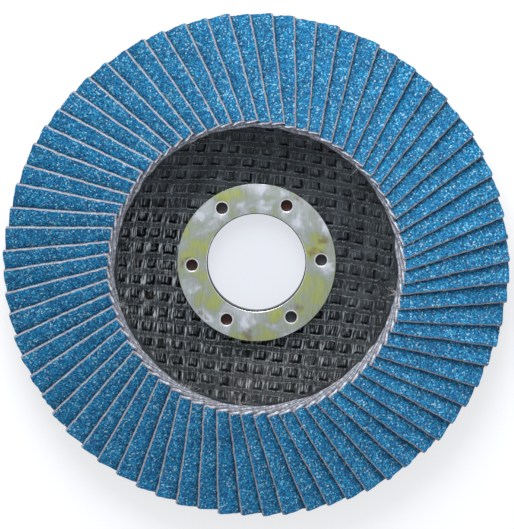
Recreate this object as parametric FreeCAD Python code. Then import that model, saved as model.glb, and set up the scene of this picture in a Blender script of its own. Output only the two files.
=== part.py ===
import FreeCAD, Part
import os
from math import atan, atan2, ceil, cos, degrees, hypot, pi, radians, sin, sqrt, tan

# Flap disc for an angle grinder, in millimetres, lying on the back of its hub.
# +Z points out of the working face. The origin is on the bore axis, in the
# plane of the hub's back face, where the disc seats on the grinder's flange.

# Driving dimensions of the abrasive flaps
disc_radius = 57.5       # over the outer corners of the flaps, a 115 mm disc
flap_count = 72
flap_length = 25.3       # along the flap, from its inner to its outer end
flap_width = 13.0        # across the flap, as seen from the front
edge_offset = 9.5        # from a flap's raised edge to a radial line beside it
flap_turn = 0.95         # angle of the first flap's radial line from +X, degrees
flap_thickness = 0.80    # cloth backing, resin and grain together
flap_gap = 0.06          # air between two flaps at their tightest corner
cone_angle = 13.0        # fall of the working face towards the rim, degrees
flaps_per_node = 2

# Driving dimensions of the pressed steel arbor ring
bore_radius = 11.115     # 22.23 mm, the standard spindle seat
sheet = 0.80             # thickness of the sheet steel
ring_radius = 18.0
entry_radius = 0.35      # mouth where the flange turns into the bore
ring_edge_bevel = 0.25
flare_start = 1.00       # height at which the clinched end leaves the bore
flare_length = 0.90      # length of the clinched end, turned out at 45 degrees
pierced_count = 6
pierced_circle_radius = 14.7
pierced_radius = 1.35
pierced_turn = 2.3       # angle of the first hole from +X, degrees
burr_depth = 1.20        # how far the four petals of each burr bite into the hub
burr_wall = 0.35         # round the hole at the root of the petals
burr_tip = 0.15          # from the hole to the corner of each petal's tip

# Driving dimensions of the glass fibre backing plate
hub_thickness = 3.40
wall_thickness = 2.20    # of the sloping wall between hub and flange
flange_thickness = 2.00  # of the conical flange under the flaps
flap_overhang = 6.5      # flap corners beyond the plate's rim
rim_lift = 3.30          # rim's underside above the hub's back face
brow_inset = 0.35        # brow of the bowl inside the flaps' inner ends
foot_share = 0.26        # foot of the slope, on the way from ring to brow
brow_round = 2.0
seat_clearance = 0.03    # between the ring's collar or burrs and the plate

# Driving dimensions of the open glass weave pressed into the plate's face
weave_pitch_across = 3.90
weave_pitch_up = 3.65
weave_window = 2.20      # side of each square window between the rovings
weave_depth = 0.35
weave_turn = -6.4        # angle of the rovings from +X, degrees
weave_shift_across = 3.42    # from the bore axis to the first column of windows
weave_shift_up = 0.68        # from the bore axis to the first row of windows
weave_margin = 2.0       # least plain face between a window and the ring or brow

# Driving dimensions of the resin bed that holds the flaps
bed_thickness = 0.90     # between the flange and the flaps' lower edges
bed_inset = 0.90         # bed's edges inside the flaps' corners and the plate's rim

# Rounds are drawn as flat chords, one for each chord_turn degrees or part of it
chord_turn = 50.0

ORIGIN = FreeCAD.Vector(0, 0, 0)
X_AXIS = FreeCAD.Vector(1, 0, 0)
Y_AXIS = FreeCAD.Vector(0, 1, 0)
Z_AXIS = FreeCAD.Vector(0, 0, 1)


def point(r, z):
    return FreeCAD.Vector(r, 0, z)


def eased_outline(corners):
    """Closed outline in the X-Z plane from (r, z, round) corners."""
    points = []
    for index, (r, z, radius) in enumerate(corners):
        here = point(r, z)
        if radius <= 0:
            points.append(here)
            continue
        before = point(*corners[index - 1][:2]) - here
        after = point(*corners[(index + 1) % len(corners)][:2]) - here
        turn = pi - before.getAngle(after)
        before.normalize()
        after.normalize()
        reach = radius * tan(turn / 2)
        centre = here + (before + after).normalize() * (radius / cos(turn / 2))
        spoke = here + before * reach - centre
        axle = spoke.cross(here + after * reach - centre)
        chords = ceil(degrees(turn) / chord_turn)
        for step in range(chords + 1):
            swing = FreeCAD.Rotation(axle, degrees(turn) * step / chords)
            points.append(centre + swing.multVec(spoke))
    return Part.makePolygon(points + points[:1])


def turned(corners):
    """Solid of revolution about the bore axis."""
    return Part.Face(eased_outline(corners)).revolve(ORIGIN, Z_AXIS, 360)


def spun(shape, angle):
    """Copy of a shape, turned about the bore axis."""
    copy = shape.copy()
    copy.rotate(ORIGIN, Z_AXIS, angle)
    return copy


def meet(r1, z1, slope1, r2, z2, slope2):
    """Crossing of two lines, each given by a point and a slope."""
    r = (z2 - z1 + slope1 * r1 - slope2 * r2) / (slope1 - slope2)
    return r, z1 + slope1 * (r - r1)


# Flaps: where they lie, and how steeply they must lean to clear each other
cone_fall = tan(radians(cone_angle))
flap_outer_x = sqrt(disc_radius ** 2 - edge_offset ** 2)
flap_inner_x = flap_outer_x - flap_length * cos(radians(cone_angle))
lower_edge_y = flap_width - edge_offset
lower_edge_r = hypot(flap_inner_x, lower_edge_y)
pitch_angle = 360.0 / flap_count


def lean_for_clearance():
    """Slope across a flap at which the next one clears it by flap_gap."""
    step = sin(radians(pitch_angle))
    run = step * (flap_inner_x - flap_thickness * cone_fall)
    slack = step * lower_edge_y * cone_fall + flap_gap
    square = run ** 2 - flap_thickness ** 2
    offset = slack ** 2 - (flap_thickness ** 2) * (1 + cone_fall ** 2)
    return (run * slack + sqrt((run * slack) ** 2 - square * offset)) / square


lean = lean_for_clearance()
flap_stack_thickness = flap_thickness * sqrt(1 + cone_fall ** 2 + lean ** 2)

# Plate: radii from the flaps inwards, heights from the rim inwards
plate_radius = disc_radius - flap_overhang
brow_radius = flap_inner_x - brow_inset
foot_radius = ring_radius + foot_share * (brow_radius - ring_radius)
flange_drop = (plate_radius - brow_radius) * cone_fall
flange_stack = flange_thickness / cos(radians(cone_angle))
brow_z = rim_lift + flange_stack + flange_drop
bowl_slope = (brow_z - hub_thickness) / (brow_radius - foot_radius)
wall_stack = wall_thickness * sqrt(1 + bowl_slope ** 2)
ring_front_z = hub_thickness + sheet
collar_radius = bore_radius + sheet
plate_bore_radius = collar_radius + seat_clearance

# The clinched end of the collar, and the countersink that it fills
flare_outer_z = flare_start + sheet * tan(pi / 8)
flare_reach = flare_length / sqrt(2)
sheet_step = sheet / sqrt(2)
countersink_top_z = flare_outer_z + seat_clearance * (sqrt(2) - 1)
countersink_radius = plate_bore_radius + countersink_top_z


def flange_top(r):
    """Height of the flange's conical front at radius r."""
    return brow_z - (r - brow_radius) * cone_fall


def plate_front():
    """Corners of the plate's front, from the bore to the rim."""
    return [
        (plate_bore_radius, hub_thickness, 0),
        (foot_radius, hub_thickness, 0),
        (brow_radius, brow_z, brow_round),
        (plate_radius, flange_top(plate_radius), 0),
    ]


def plate_back():
    """Corners of the plate's back, from the rim to the bore."""
    wall_z = hub_thickness - wall_stack
    brow = meet(
        foot_radius, wall_z, bowl_slope,
        brow_radius, brow_z - flange_stack, -cone_fall)
    foot = meet(foot_radius, wall_z, bowl_slope, 0, 0, 0)
    return [
        (plate_radius, flange_top(plate_radius) - flange_stack, 0),
        (brow[0], brow[1], 0),
        (foot[0], foot[1], 0),
        (countersink_radius, 0, 0),
        (plate_bore_radius, countersink_top_z, 0),
    ]


def weave_window_at(u, v, plan):
    """Cutter for one window, square to the face where it is pressed in."""
    on_slope = plan > foot_radius
    slope_angle = degrees(atan(bowl_slope)) if on_slope else 0.0
    face_z = hub_thickness + max(plan - foot_radius, 0) * bowl_slope
    heading = degrees(atan2(v, u))
    half = weave_window / 2
    cutter = Part.makeBox(
        weave_window, weave_window, 2 * weave_depth,
        FreeCAD.Vector(-half, -half, -weave_depth))
    cutter.rotate(ORIGIN, Z_AXIS, -heading)
    cutter.rotate(ORIGIN, Y_AXIS, -slope_angle)
    cutter.translate(point(plan, face_z))
    return spun(cutter, heading + weave_turn)


def weave_lines(shift, pitch):
    """Places of the columns or rows of windows, on both sides of the bore."""
    count = ceil(brow_radius / pitch)
    return [shift + pitch * i for i in range(-count - 1, count + 1)]


def weave_windows():
    """Windows between the rovings, in columns and rows along the bowl's face."""
    slope_cosine = 1 / sqrt(1 + bowl_slope ** 2)
    margin = weave_window / sqrt(2) + weave_margin
    cutters = []
    for u in weave_lines(weave_shift_across, weave_pitch_across):
        for v in weave_lines(weave_shift_up, weave_pitch_up):
            along_face = hypot(u, v)
            plan = min(along_face, foot_radius)
            plan += max(along_face - foot_radius, 0) * slope_cosine
            if ring_radius + margin < plan < brow_radius - margin:
                cutters.append(weave_window_at(u, v, plan))
    return cutters


def punch_mark(clearance):
    """Square pyramid that the punch leaves, grown by a clearance."""
    root = pierced_radius + burr_wall + clearance
    tip = (pierced_radius + burr_tip) / sqrt(2) + clearance
    low = hub_thickness - burr_depth - clearance
    high = hub_thickness + sheet / 2
    pyramid = Part.makeWedge(
        -tip, low, -tip, -root, -root, tip, high, tip, root, root)
    pyramid.rotate(ORIGIN, X_AXIS, 90)
    pyramid.translate(point(pierced_circle_radius, 0))
    return pyramid


def on_pierced_circle(shape):
    """Copies of a shape at each pierced hole."""
    step = 360.0 / pierced_count
    return [spun(shape, pierced_turn + step * i) for i in range(pierced_count)]


def make_backing_plate():
    body = turned(plate_front() + plate_back())
    body = body.cut(on_pierced_circle(punch_mark(seat_clearance)))
    return body.cut(weave_windows())


def make_arbor_ring():
    """One pressing: flange, bore collar, clinched end and pierced burrs."""
    flare_tip_r = bore_radius + flare_reach
    flare_tip_z = flare_start - flare_reach
    body = turned([
        (bore_radius, flare_start, 0),
        (bore_radius, ring_front_z, entry_radius),
        (ring_radius - ring_edge_bevel, ring_front_z, 0),
        (ring_radius, ring_front_z - ring_edge_bevel, 0),
        (ring_radius, hub_thickness, 0),
        (collar_radius, hub_thickness, 0),
        (collar_radius, flare_outer_z, 0),
        (flare_tip_r + sheet_step, flare_tip_z + sheet_step, 0),
        (flare_tip_r, flare_tip_z, 0),
    ])
    hole = Part.makeCylinder(
        pierced_radius, 2 * ring_front_z, point(pierced_circle_radius, 0))
    body = body.fuse(on_pierced_circle(punch_mark(0.0)))
    return body.cut(on_pierced_circle(hole)).removeSplitter()


def flap_slab(upper, lower):
    """Slab over a flap's plan on the +X side, between two depths below its face."""
    lower_edge_z = flange_top(lower_edge_r) + bed_thickness

    def face_height(x, y):
        low = lower_edge_z + flap_stack_thickness
        return low - (x - flap_inner_x) * cone_fall + (lower_edge_y - y) * lean

    plan = [
        (flap_inner_x, -edge_offset),
        (flap_outer_x, -edge_offset),
        (flap_outer_x, lower_edge_y),
        (flap_inner_x, lower_edge_y),
    ]
    corners = [FreeCAD.Vector(x, y, face_height(x, y)) for x, y in plan]
    face = Part.Face(Part.makePolygon(corners + corners[:1]))
    inwards = -FreeCAD.Vector(cone_fall, lean, 1).normalize()
    face.translate(inwards * upper)
    return face.extrude(inwards * (lower - upper))


def laid_round(shape):
    """Copies of a flap's shape, one for each flap of the disc."""
    return [spun(shape, flap_turn + pitch_angle * number) for number in range(flap_count)]


def make_adhesive_bed():
    """Resin ring on the flange, filling the wedge under each flap's lower edge."""
    inner = lower_edge_r + bed_inset
    outer = plate_radius - bed_inset
    rise = bed_thickness + flap_width * lean
    bed = turned([
        (inner, flange_top(inner), 0),
        (outer, flange_top(outer), 0),
        (outer, flange_top(outer) + rise, 0),
        (inner, flange_top(inner) + rise, 0),
    ])
    return bed.cut(laid_round(flap_slab(-flap_width, flap_thickness)))


def write(name, solids):
    shape = solids[0] if len(solids) == 1 else Part.Compound(solids)
    shape.exportStep(os.path.join("parts", name + ".step"))
    volume = sum(solid.Volume for solid in solids)
    box = shape.BoundBox
    print(name, len(solids), "solids", round(volume, 1), "mm3",
          "z", round(box.ZMin, 2), round(box.ZMax, 2), shape.isValid())


os.makedirs("parts", exist_ok=True)
flaps = laid_round(flap_slab(0, flap_thickness))
write("backing_plate", make_backing_plate().Solids)
write("arbor_ring", make_arbor_ring().Solids)
write("adhesive_bed", make_adhesive_bed().Solids)
for number in range(0, flap_count, flaps_per_node):
    name = "flap_pair_%02d" % (number // flaps_per_node + 1)
    write(name, flaps[number:number + flaps_per_node])
print("lean across a flap", round(lean, 4), "inner end at", round(flap_inner_x, 2))
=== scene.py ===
# %% [markdown]
# A flap disc, dressed over its solids
#
# A flap disc is a grinding disc for an angle grinder. Stiff abrasive cloth is cut into
# short flaps, and the flaps are laid over each other like roof tiles on a moulded plate.
# This lesson loads the solids as a fixed frame. It then builds the camera and the light,
# the flaps, the plate and the steel ring, and gives each one the surface that it was made
# with. Every size is in metres, and MM turns millimetres into metres.

from math import atan, cos, hypot, pi, radians, sin, sqrt, tan

import bpy
import numpy as np
from mathutils import Matrix, Vector


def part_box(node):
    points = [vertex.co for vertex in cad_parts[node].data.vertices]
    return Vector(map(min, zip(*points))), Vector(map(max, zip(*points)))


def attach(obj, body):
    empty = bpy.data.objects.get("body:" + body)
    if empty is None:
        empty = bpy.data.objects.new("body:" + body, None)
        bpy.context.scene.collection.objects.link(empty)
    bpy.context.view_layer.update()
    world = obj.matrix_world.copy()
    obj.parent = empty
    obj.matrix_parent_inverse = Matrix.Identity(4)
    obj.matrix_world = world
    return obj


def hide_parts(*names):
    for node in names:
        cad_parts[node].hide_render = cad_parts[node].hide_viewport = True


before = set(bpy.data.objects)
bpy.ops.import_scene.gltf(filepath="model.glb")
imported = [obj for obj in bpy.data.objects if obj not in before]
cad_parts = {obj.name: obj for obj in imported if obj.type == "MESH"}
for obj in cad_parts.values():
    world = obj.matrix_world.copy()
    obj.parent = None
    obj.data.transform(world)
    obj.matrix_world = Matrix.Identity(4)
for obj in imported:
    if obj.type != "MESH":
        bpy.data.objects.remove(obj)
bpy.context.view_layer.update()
MM = 0.001

# %% [markdown]
# The sizes that every piece shares
#
# The dressed pieces stand where the solids stand, so they start from the same driving
# dimensions. The first ones are read from the solids' own boxes. The others can't be read
# from a box, so they are named again here.

# %% Shared sizes
plate_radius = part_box("backing_plate")[1].x
ring_radius, ring_front_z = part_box("arbor_ring")[1].x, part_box("arbor_ring")[1].z
disc_radius = 57.5 * MM

flap_count, flaps_per_node = 72, 2
flap_length, flap_width, flap_thickness = 25.3 * MM, 13.0 * MM, 0.80 * MM
edge_offset, flap_gap = 9.5 * MM, 0.06 * MM
flap_turn = 0.95
cone_fall = tan(radians(13.0))
bed_thickness, flange_thickness, rim_lift = 0.90 * MM, 2.0 * MM, 3.30 * MM

bore_radius, sheet = 11.115 * MM, 0.80 * MM
hub_thickness = ring_front_z - sheet
pierced_circle_radius, pierced_radius, pierced_turn = 14.7 * MM, 1.35 * MM, 2.3
pierced_count = 6
flap_overhang, foot_share = 0.35 * MM, 0.26

lower_edge_y = flap_width - edge_offset
flap_outer_x = sqrt(disc_radius ** 2 - edge_offset ** 2)
flap_inner_x = flap_outer_x - flap_length * cos(atan(cone_fall))
pitch_angle = 360.0 / flap_count
brow_radius = flap_inner_x - flap_overhang
foot_radius = ring_radius + foot_share * (brow_radius - ring_radius)
brow_z = rim_lift + flange_thickness * sqrt(1 + cone_fall ** 2) + (plate_radius - brow_radius) * cone_fall
print("flap from", round(flap_inner_x / MM, 2), "to", round(flap_outer_x / MM, 2), "mm from the axis")

# %% [markdown]
# Small helpers
#
# Colours are written as sRGB hex values, because that is what an eye or a colour picker
# reads from a picture. Shaders work in linear light, so one function turns them over.
# A second function adds a shader node with its options and its links in one call. The
# last ones make a mesh piece from points and faces, hand it to the frame, and keep
# numbers and a flat map on it.

# %% Helpers for colours and shader nodes
def colour(code):
    """Linear RGBA of an sRGB hex value such as #336699."""
    parts = [int(code[at:at + 2], 16) / 255 for at in (1, 3, 5)]
    return [p / 12.92 if p <= 0.04045 else ((p + 0.055) / 1.055) ** 2.4 for p in parts] + [1.0]


def add(tree, kind, sockets=(), **options):
    """Adds one shader node. A socket gets a value, or a link from a socket or a node's first one."""
    new = tree.nodes.new("ShaderNode" + kind)
    for name, value in options.items():
        setattr(new, name, value)
    for name, value in dict(sockets).items():
        if isinstance(value, bpy.types.Node):
            value = value.outputs[0]
        if isinstance(value, bpy.types.NodeSocket):
            tree.links.new(value, new.inputs[name])
        else:
            new.inputs[name].default_value = value
    return new


def set_stops(ramp, *stops):
    """Sets a colour ramp's stops from (position, hex) pairs."""
    elements = ramp.color_ramp.elements
    while len(elements) < len(stops):
        elements.new(0.5)
    for element, (position, code) in zip(elements, stops):
        element.position = position
        element.color = colour(code)
    return ramp.outputs["Color"]


def start_material(name):
    material = bpy.data.materials.new(name)
    material.use_nodes = True
    material.node_tree.nodes.clear()
    return material, material.node_tree


def finish_material(tree, **sockets):
    """Ends a material in one Principled shader. An underscore stands for a space."""
    named = {name.replace("_", " "): value for name, value in sockets.items()}
    shader = add(tree, "BsdfPrincipled", named)
    add(tree, "OutputMaterial", {"Surface": shader.outputs["BSDF"]})


print("shader helpers ready")

# %% Helpers for pieces
def linked(name, data):
    """New object over some data, in the scene."""
    new = bpy.data.objects.new(name, data)
    bpy.context.scene.collection.objects.link(new)
    return new


def meshed(name, points, faces):
    """New mesh object from arrays of points and faces."""
    mesh = bpy.data.meshes.new(name)
    mesh.from_pydata(points.tolist(), [], faces.tolist())
    return linked(name, mesh)


def make_piece(name, points, faces, materials, nodes=(), kinds=None, sharp=40.0):
    """Mesh piece, riding on the disc, in place of the named nodes."""
    piece = meshed(name, points, faces)
    mesh = piece.data
    for material in materials:
        mesh.materials.append(material)
    if kinds is not None:
        mesh.polygons.foreach_set("material_index", kinds.astype(np.int32))
    mesh.shade_smooth()
    mesh.set_sharp_from_angle(angle=radians(sharp))
    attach(piece, "root")
    if nodes:
        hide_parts(*nodes)
    return piece


def set_numbers(piece, name, values):
    """Keeps one number on each point of a piece, for its shader to read."""
    attribute = piece.data.attributes.new(name, "FLOAT", "POINT")
    attribute.data.foreach_set("value", values.astype(np.float32).reshape(-1))


def set_map(piece, name, places, faces):
    """Keeps a flat map on a piece, from one flat place for each of its points."""
    at_corners = places[faces.reshape(-1)].astype(np.float32)
    piece.data.uv_layers.new(name=name).data.foreach_set("uv", at_corners.reshape(-1))


print("piece helpers ready")

# %% [markdown]
# Camera
#
# The disc was photographed from almost straight above with a long lens, so circles at
# different heights slide only a little against each other. That slide gives the tilt:
# the camera stands about seven degrees towards the top of the picture. One pixel is
# 0.2274 mm at the steel ring, which sets the lens once a distance is chosen.

# %% Camera
picture_width, picture_height = 514, 529
pixel_at_ring = 0.2274 * MM
bore_pixel = (256.57, 262.26)
camera_distance = 1500 * MM
tilt_up, tilt_right = radians(6.7), radians(0.7)

camera = linked("camera", bpy.data.cameras.new("camera"))
bpy.context.scene.camera = camera
camera.data.sensor_fit = "HORIZONTAL"
camera.data.sensor_width = 36.0
camera.data.lens = 36.0 * camera_distance / (picture_width * pixel_at_ring)
camera.data.clip_end = 20.0
aim = Vector((
    (picture_width / 2 - bore_pixel[0]) * pixel_at_ring,
    -(picture_height / 2 - bore_pixel[1]) * pixel_at_ring / cos(tilt_up),
    hub_thickness))
toward_camera = Vector((tan(tilt_right), tan(tilt_up), 1.0)).normalized()
camera.location = aim + toward_camera * camera_distance
picture_right = Vector((0.0, 1.0, 0.0)).cross(toward_camera).normalized()
picture_up = toward_camera.cross(picture_right)
camera.rotation_euler = Matrix((picture_right, picture_up, toward_camera)).transposed().to_euler()
print("lens", round(camera.data.lens, 1), "mm")

# %% [markdown]
# Light
#
# The blue of the flaps is lightest at the top of the ring and darkest at the bottom, and
# the cut edges shine at the upper left. The flaps lean, so both say that one large soft
# lamp stands near the top of the picture, close enough that the light falls off across
# the disc. An even grey world fills the shadows. Together they light a flat surface at a
# level of about one, so a colour renders about as it is written. The world and the floor
# look white to the camera, and the white floor shows in reflections too. Under the disc
# the paper reflects less and glows more, so that the bore shows an even pale field and
# not the hub's shadow.

# %% Lamp and world
key_azimuth, key_elevation = radians(96.0), radians(42.0)
key_distance, key_size = 0.42, 0.30
key_level, world_level = 0.82, 0.47
mirror_level = 0.72

key_data = bpy.data.lights.new("soft_box", "AREA")
key_data.shape = "DISK"
key_data.size = key_size
key_data.energy = key_level * (pi * key_distance) ** 2
key = linked("soft_box", key_data)
key_direction = Vector((
    cos(key_elevation) * cos(key_azimuth),
    cos(key_elevation) * sin(key_azimuth),
    sin(key_elevation)))
key.location = key_direction * key_distance
key.rotation_euler = key_direction.to_track_quat("Z", "Y").to_euler()

world = bpy.data.worlds.new("studio")
bpy.context.scene.world = world
world.use_nodes = True
tree = world.node_tree
tree.nodes.clear()
path = add(tree, "LightPath")
mirrored = add(tree, "MapRange", {"Value": path.outputs["Is Glossy Ray"],
                                  "To Min": world_level, "To Max": mirror_level})
seen = add(tree, "Math", {0: path.outputs["Is Camera Ray"], 1: path.outputs["Is Transmission Ray"]},
           operation="MAXIMUM")
level = add(tree, "Math", {0: seen, 1: mirrored}, operation="MAXIMUM")
sky = add(tree, "Background", {"Color": colour("#f3f7ff"), "Strength": level})
add(tree, "OutputWorld", {"Surface": sky})

print("key lamp", round(key_data.energy, 2), "W")

# %% White paper floor
shaded_radius = 15 * MM
glow_under_disc, glow_outside = 0.70, 0.66
floor_reach, floor_drop = 6.0, 0.02 * MM

floor_material, tree = start_material("white_paper_floor")
path = add(tree, "LightPath")
seen = add(tree, "Math", {0: path.outputs["Is Camera Ray"], 1: path.outputs["Is Glossy Ray"]},
           operation="MAXIMUM")
seen = add(tree, "Math", {0: seen, 1: path.outputs["Is Transmission Ray"]},
           operation="MAXIMUM")
place = add(tree, "TexCoord").outputs["Object"]
from_axis = add(tree, "VectorMath", {0: place}, operation="LENGTH")
outwards = add(tree, "MapRange", {"Value": from_axis.outputs["Value"],
                                  "From Min": shaded_radius, "From Max": disc_radius})
paper_level = add(tree, "MapRange", {"Value": outwards, "To Min": glow_under_disc, "To Max": glow_outside})
glow = add(tree, "Math", {0: seen, 1: paper_level}, operation="MULTIPLY")
paper_tone = add(tree, "MixRGB", {"Fac": outwards, "Color1": colour("#7c7e84"),
                                  "Color2": colour("#b4b6ba")})
glow_tone = add(tree, "MixRGB", {"Fac": outwards, "Color1": colour("#f6f9ff"),
                                 "Color2": colour("#ffffff")})
paper = add(tree, "BsdfDiffuse", {"Color": paper_tone})
lit = add(tree, "Emission", {"Color": glow_tone, "Strength": glow})
both = add(tree, "AddShader", {0: paper, 1: lit})
add(tree, "OutputMaterial", {"Surface": both})

floor_corners = np.array([(-1, -1, 0), (1, -1, 0), (1, 1, 0), (-1, 1, 0)]) * floor_reach
floor = meshed("floor", floor_corners, np.array([(0, 1, 2, 3)]))
floor.data.materials.append(floor_material)
floor.location.z = -floor_drop
bpy.context.scene.view_settings.view_transform = "Standard"
print("floor", 2 * floor_reach, "m wide")

# %% [markdown]
# Abrasive grain in blue resin
#
# The working face of a flap is zirconia grain, sharp crumbs about a third of a millimetre
# across, set in blue phenolic resin. Each crumb catches the light on its own facet, so
# the eye sees a sparkle of light and dark blue. A Voronoi texture gives one cell to each
# crumb: its random colour tints it, with the palest tints as painted glints, and its
# distance makes it stand up in the bump.
# Painted shade darkens the grain in the corner where the next flap's raised edge lies over it.

# %% Material: zirconia grain in blue resin
grain_size, grain_height = 0.33 * MM, 0.15 * MM
dust_size, cloud_size = 0.55 * MM, 7 * MM

grain_material, tree = start_material("zirconia_grain_in_blue_resin")
place = add(tree, "TexCoord").outputs["Object"]
crumbs = add(tree, "TexVoronoi", {"Vector": place, "Scale": 1 / grain_size,
                                  "Randomness": 1.0})
fine_crumbs = add(tree, "TexVoronoi", {"Vector": place, "Scale": 1.9 / grain_size})
tint = add(tree, "SeparateColor", {"Color": crumbs.outputs["Color"]})
crumb_colour = add(tree, "ValToRGB", {"Fac": tint.outputs["Red"]})
# The top stops of this ramp are painted glints: pale specks that stand in for light caught on crumb facets.
crumb_blue_and_glints = set_stops(
    crumb_colour, (0.0, "#004a7c"), (0.28, "#006ea3"), (0.58, "#088ec6"),
    (0.80, "#1ea7da"), (0.90, "#63c4e6"), (1.0, "#bde6f0"))
dust = add(tree, "TexNoise", {"Vector": place, "Scale": 1 / dust_size, "Detail": 2.0})
dust_share = add(tree, "MapRange", {"Value": dust, "From Min": 0.52, "From Max": 0.70,
                                    "To Min": 0.0, "To Max": 0.65})
dusted = add(tree, "MixRGB", {"Fac": dust_share, "Color1": crumb_blue_and_glints,
                              "Color2": colour("#4c7ab2")})
gap = add(tree, "MapRange", {"Value": crumbs.outputs["Distance"], "From Min": 0.42, "From Max": 0.85,
                             "To Min": 0.0, "To Max": 0.75})
gapped = add(tree, "MixRGB", {"Fac": gap, "Color1": dusted,
                              "Color2": colour("#053e62")})
clouds = add(tree, "TexNoise", {"Vector": place, "Scale": 1 / cloud_size, "Detail": 2.0})
cloud_level = add(tree, "MapRange", {"Value": clouds, "From Min": 0.3, "From Max": 0.7,
                                     "To Min": 0.97, "To Max": 1.24})
clouded = add(tree, "VectorMath", {0: gapped, 1: cloud_level},
              operation="MULTIPLY")
# Painted shade: the grain is mixed towards dark blue beside the next flap's raised edge, where its shadow
# falls.
painted_edge_shade = add(tree, "Attribute", attribute_name="painted_edge_shade", attribute_type="GEOMETRY")
grain_colour = add(tree, "MixRGB", {"Fac": painted_edge_shade.outputs["Fac"], "Color1": clouded,
                                    "Color2": colour("#0a2b42")})
relief = add(tree, "Math", {0: crumbs.outputs["Distance"], 1: fine_crumbs.outputs["Distance"]},
             operation="ADD")
bump = add(tree, "Bump", {"Height": relief, "Strength": 0.8, "Distance": grain_height},
           invert=True)
finish_material(tree, Base_Color=grain_colour, Roughness=0.5,
                Normal=bump, Specular_IOR_Level=0.35)
print(grain_material.name, "grain", round(grain_size / MM, 2), "mm")

# %% [markdown]
# Polyester and cotton cloth, cut through
#
# Under the grain lies the backing, a woven cloth stiffened with glue. Where the flaps are
# cut, its pale threads fray, and blue resin leaves a pink and grey tinge. The tips of the
# threads are painted palest, a painted highlight that is strongest at the inner ends, and
# the cloth above and below them is painted dark: glue darkens it in part, and the rest is
# painted shade in the thin gaps between flaps. On the flat underside the same cloth shows
# its weave. Thread spacing is about 0.45 mm, and the crossing waves are drawn at that pitch
# along the flap's own length and width. A wave texture draws 20 bands to the unit, which is
# where the 20 comes from.

# %% Material: woven backing cloth
thread_pitch = 0.45 * MM
fray_size, tinge_size, thread_height = 0.35 * MM, 1.6 * MM, 0.12 * MM
strand_width, strand_length = 0.16 * MM, 1.3 * MM

cloth_material, tree = start_material("woven_polyester_cotton_backing")
place = add(tree, "TexCoord").outputs["Object"]
flap_map = add(tree, "UVMap", uv_map="along_and_across")
warp = add(tree, "TexWave", {"Vector": flap_map, "Scale": 1 / (20 * thread_pitch),
                             "Distortion": 0.6, "Detail": 1.0}, bands_direction="X")
weft = add(tree, "TexWave", {"Vector": flap_map, "Scale": 1 / (20 * thread_pitch),
                             "Distortion": 0.6, "Detail": 1.0}, bands_direction="Y")
threads = add(tree, "Math", {0: warp.outputs["Fac"], 1: weft.outputs["Fac"]}, operation="MAXIMUM")
fray = add(tree, "TexNoise", {"Vector": place, "Scale": 1 / fray_size, "Detail": 4.0,
                              "Roughness": 0.65})
combed = add(tree, "Mapping", {"Vector": flap_map, "Scale": (1 / strand_width, 1 / strand_length, 1.0)})
tufts = add(tree, "TexNoise", {"Vector": combed, "Scale": 1.0, "Detail": 2.0})
frayed = add(tree, "MixRGB", {"Fac": 0.55, "Color1": fray, "Color2": tufts})
blotch = add(tree, "TexNoise", {"Vector": place, "Scale": 1 / tinge_size, "Detail": 2.0})
pale = set_stops(add(tree, "ValToRGB", {"Fac": frayed}),
                 (0.36, "#6c717d"), (0.44, "#989eaa"), (0.51, "#c0c8d2"), (0.59, "#e9eff6"))
tinge = add(tree, "MapRange", {"Value": blotch, "From Min": 0.50, "From Max": 0.68,
                               "To Min": 0.0, "To Max": 0.42})
tinged = add(tree, "MixRGB", {"Fac": tinge, "Color1": pale, "Color2": colour("#b28e90")})
# Painted light and shade on the cut edge: below one the cloth is mixed towards dark grey, partly glue and
# partly painted shade between flaps; above one it is brightened as a painted highlight.
tip_light_node = add(tree, "Attribute", attribute_name="tip_light_and_shade", attribute_type="GEOMETRY")
cloth_colour = add(tree, "MixRGB", {"Fac": tip_light_node.outputs["Fac"], "Color1": colour("#4b4654"),
                                    "Color2": tinged})
painted_tip_highlight = add(tree, "MapRange", {"Value": tip_light_node.outputs["Fac"], "From Min": 1.0, "From Max": 2.0,
                                   "To Min": 1.0, "To Max": 1.5})
cloth_colour = add(tree, "VectorMath", {0: cloth_colour, 1: painted_tip_highlight},
                   operation="MULTIPLY")
heights = add(tree, "Math", {0: threads, 1: fray}, operation="ADD")
bump = add(tree, "Bump", {"Height": heights, "Strength": 0.6, "Distance": thread_height})
finish_material(tree, Base_Color=cloth_colour, Roughness=0.9, Normal=bump,
                Sheen_Weight=0.15, Specular_IOR_Level=0.3)
print(cloth_material.name, "threads", round(thread_pitch / MM, 2), "mm")

# %% [markdown]
# The flaps
#
# Each flap is a slab of stiff cloth with its grain on top. It falls towards the rim with
# the cone, and it leans on the flap before it, so that only a strip near its raised edge
# shows. The solid is a plain slab, but a real flap is die cut: its edge wanders, the
# brittle grain breaks away a little before the cloth ends, and its corners wear round.
# So each flap is a fine grid of points with four layers through its thickness, and the
# points near the cut edges are moved by small, smooth, seeded noise.

# %% Where a flap lies
def lean_for_clearance():
    """Slope across a flap at which the next one clears it by flap_gap."""
    step = sin(radians(pitch_angle))
    run = step * (flap_inner_x - flap_thickness * cone_fall)
    slack = step * lower_edge_y * cone_fall + flap_gap
    square = run ** 2 - flap_thickness ** 2
    offset = slack ** 2 - (flap_thickness ** 2) * (1 + cone_fall ** 2)
    return (run * slack + sqrt((run * slack) ** 2 - square * offset)) / square


lean = lean_for_clearance()
face_normal = np.array([cone_fall, lean, 1.0])
face_normal /= np.linalg.norm(face_normal)
lower_edge_r = hypot(flap_inner_x, lower_edge_y)
lower_edge_z = brow_z - (lower_edge_r - brow_radius) * cone_fall + bed_thickness
flap_stack = flap_thickness / face_normal[2]


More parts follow.
